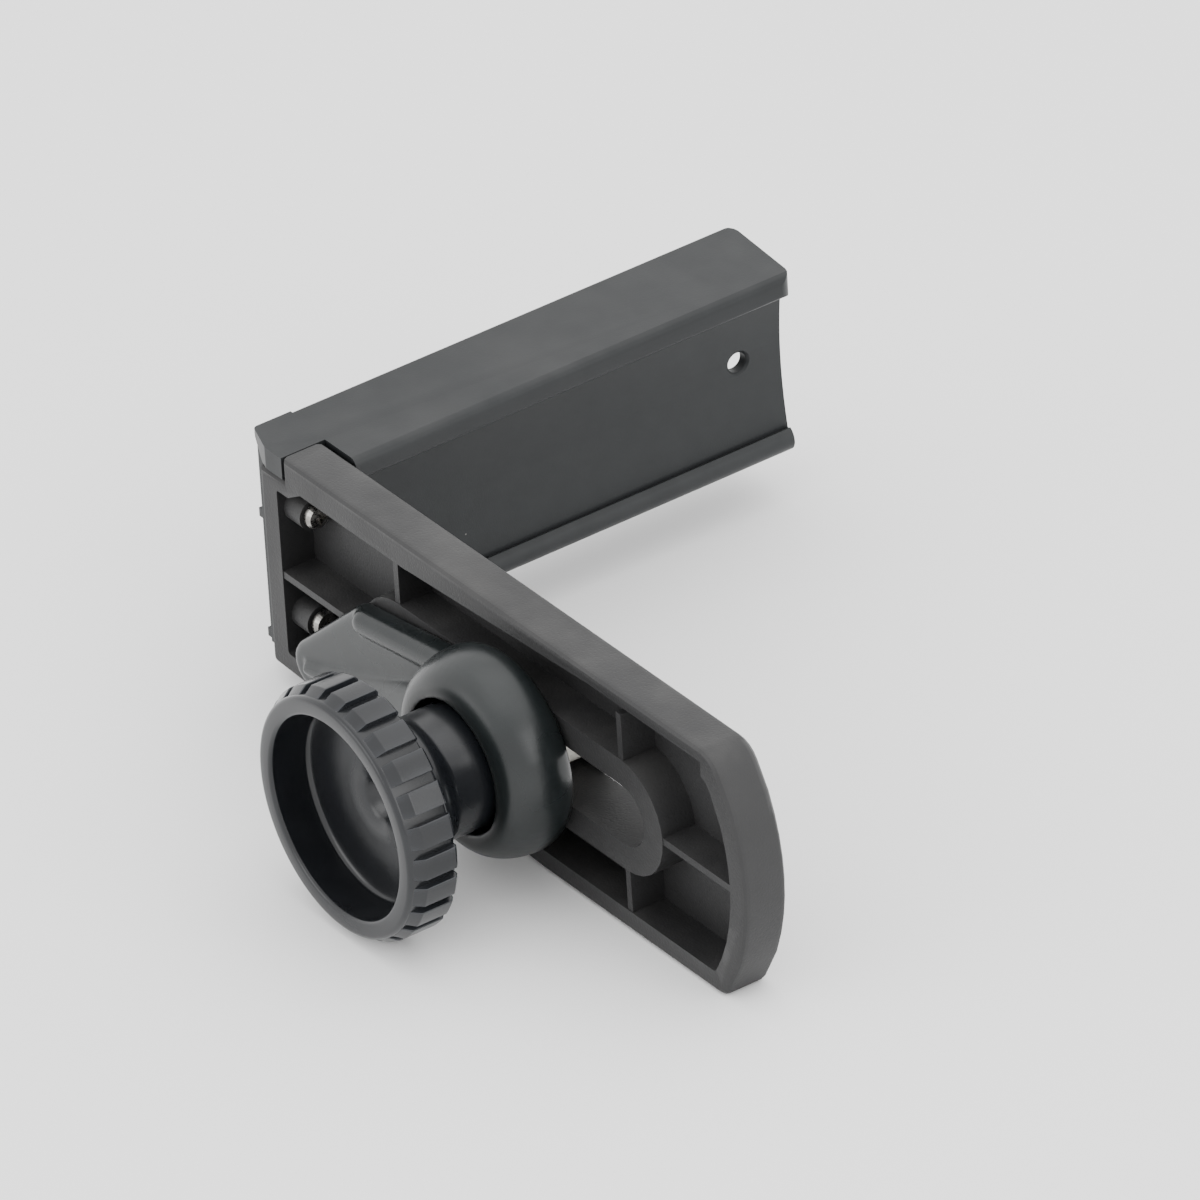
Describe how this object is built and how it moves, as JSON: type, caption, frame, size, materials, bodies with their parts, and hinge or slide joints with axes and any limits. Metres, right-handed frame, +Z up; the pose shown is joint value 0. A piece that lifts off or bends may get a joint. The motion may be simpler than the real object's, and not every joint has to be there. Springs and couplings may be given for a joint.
{
  "type": "rod holder",
  "caption": "L-shaped rod holder bracket: slotted arm, cradle rail and a hand-knob clamp that slides, swivels and tightens along the slot.",
  "frame": {"origin": "middle of the part's footprint, on the surface it stands on", "axes": "+X along the slotted arm away from the corner, +Y along the cradle rail away from the knob, +Z up, across the arm's height"},
  "size_m": [0.1646, 0.1624, 0.055],
  "materials": {
    "arm_plastic": "fine moulded texture",
    "rail_plastic": "smooth satin moulding",
    "shoe_plastic": "smooth satin moulding",
    "knob_plastic": "semi-gloss moulding",
    "screw_steel": "bright plated",
    "bolt_steel": "plain stainless",
    "insert_brass": "turned",
    "slide_nylon": "natural nylon"
  },
  "bodies": {
    "bracket": {"slotted_arm": "arm_plastic", "cradle_rail": "rail_plastic", "arm_screw_upper": "screw_steel", "arm_screw_lower": "screw_steel"},
    "carriage": {"slot_block": "slide_nylon", "clamp_bolt": "bolt_steel", "back_washer": "bolt_steel"},
    "shoe": {"clamp_shoe": "shoe_plastic"},
    "thrust": {"thrust_washer": "slide_nylon"},
    "knob": {"hand_knob": "knob_plastic", "knob_insert": "insert_brass"}
  },
  "joints": [
    {"name": "clamp_slide", "type": "slide", "parent": "bracket", "child": "carriage", "axis": [1, 0, 0], "range_m": [-0.0355, 0.0325]},
    {"name": "shoe_swivel", "type": "hinge", "parent": "carriage", "child": "shoe", "pos_m": [0.0073, -0.045, 0.027], "axis": [0, 1, 0], "continuous": true},
    {"name": "knob_advance", "type": "slide", "parent": "carriage", "child": "thrust", "axis": [0, -1, 0], "range_m": [0, 0.0032]},
    {"name": "knob_turn", "type": "hinge", "parent": "thrust", "child": "knob", "pos_m": [0.0073, -0.06, 0.027], "axis": [0, -1, 0], "range_deg": [0, 900]}
  ],
  "couplings": [
    {"joint": "knob_advance", "follows": "knob_turn", "m_per_rad": 0.00019894}
  ]
}
